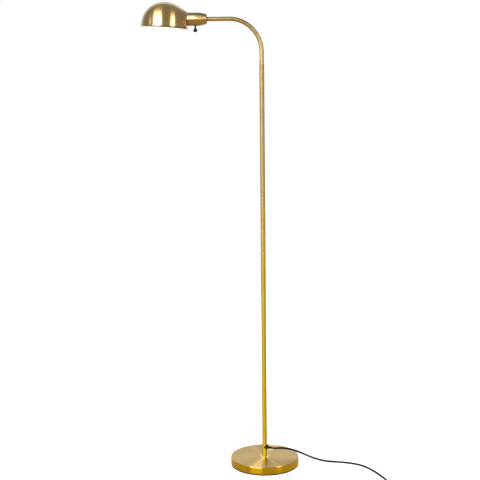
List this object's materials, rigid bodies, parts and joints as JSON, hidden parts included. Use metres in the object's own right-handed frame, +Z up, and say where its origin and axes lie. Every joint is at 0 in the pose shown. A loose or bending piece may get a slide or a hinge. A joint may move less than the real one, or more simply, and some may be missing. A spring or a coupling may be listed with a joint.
{
  "type": "pharmacy floor lamp",
  "caption": "Floor lamp with a round weighted base, slim straight pole, curved swivelling arm and a domed metal shade that rolls on the end of the arm.",
  "frame": {"origin": "on the floor, under the middle of the round base", "axes": "+Z up along the pole; the arm reaches out along -X; the cord leaves towards +X"},
  "size_m": [0.8123, 0.4544, 1.562],
  "materials": {
    "satin_brass": "satin brushed brass plate under clear lacquer",
    "yellow_brass": "plain turned or pressed brass",
    "zinc_steel": "bright zinc-plated steel",
    "grey_iron": "rough cast iron",
    "black_foam": "matt black closed-cell foam",
    "white_nylon": "natural nylon",
    "black_plastic": "moulded black plastic, slightly glossy",
    "black_cord": "black PVC cord jacket",
    "wire_jacket": "black wire insulation",
    "dark_phenolic": "black-brown phenolic moulding",
    "frosted_glass": "frosted bulb glass",
    "lamp_aluminium": "thin pressed aluminium",
    "white_enamel": "white baked enamel, semi-matt"
  },
  "bodies": {
    "stand": {"base_pad": "black_foam", "base_cover": "satin_brass", "base_weight": "grey_iron", "base_ring": "satin_brass", "base_nipple": "zinc_steel", "base_washer": "zinc_steel", "base_lock_washer": "zinc_steel", "base_nut": "zinc_steel", "pole_foot_insert": "yellow_brass", "pole_lower": "satin_brass", "pole_middle": "satin_brass", "pole_upper": "satin_brass", "pole_coupling_lower": "yellow_brass", "pole_coupling_upper": "yellow_brass", "swivel_sleeve": "white_nylon", "cord_bushing": "black_plastic", "pole_wire": "wire_jacket", "cord": "black_cord", "cord_end": "black_cord", "cord_coil": "black_cord", "cord_tie": "black_plastic", "plug_body": "black_plastic", "plug_blades": "yellow_brass"},
    "arm": {"arm_tube": "satin_brass", "arm_edge_bushing": "white_nylon", "arm_insert": "yellow_brass", "head_nipple": "zinc_steel", "head_washer": "black_plastic", "head_wave_washer": "zinc_steel", "head_nut": "zinc_steel", "arm_wire": "wire_jacket"},
    "head": {"socket_cup": "satin_brass", "holder_bracket": "zinc_steel", "switch_body": "dark_phenolic", "holder_screws": "zinc_steel", "terminal_screws": "yellow_brass", "lampholder_body": "dark_phenolic", "screw_shell": "yellow_brass", "centre_contact": "yellow_brass", "shade": "satin_brass", "shade_ring": "dark_phenolic", "head_wires": "wire_jacket", "bulb_globe": "frosted_glass", "bulb_cap": "lamp_aluminium", "bulb_contact": "yellow_brass"},
    "knob": {"switch_knob": "black_plastic", "switch_shaft": "yellow_brass"}
  },
  "joints": [
    {"name": "arm_swivel", "type": "hinge", "parent": "stand", "child": "arm", "pos_m": [0, 0, 1.332], "axis": [0, 0, 1], "range_deg": [-170, 170]},
    {"name": "head_swivel", "type": "hinge", "parent": "arm", "child": "head", "pos_m": [-0.18, 0, 1.506], "axis": [1, 0, 0], "range_deg": [-90, 90]},
    {"name": "switch_turn", "type": "hinge", "parent": "head", "child": "knob", "pos_m": [-0.2155, 0, 1.478], "axis": [0, 0, 1], "continuous": true}
  ]
}
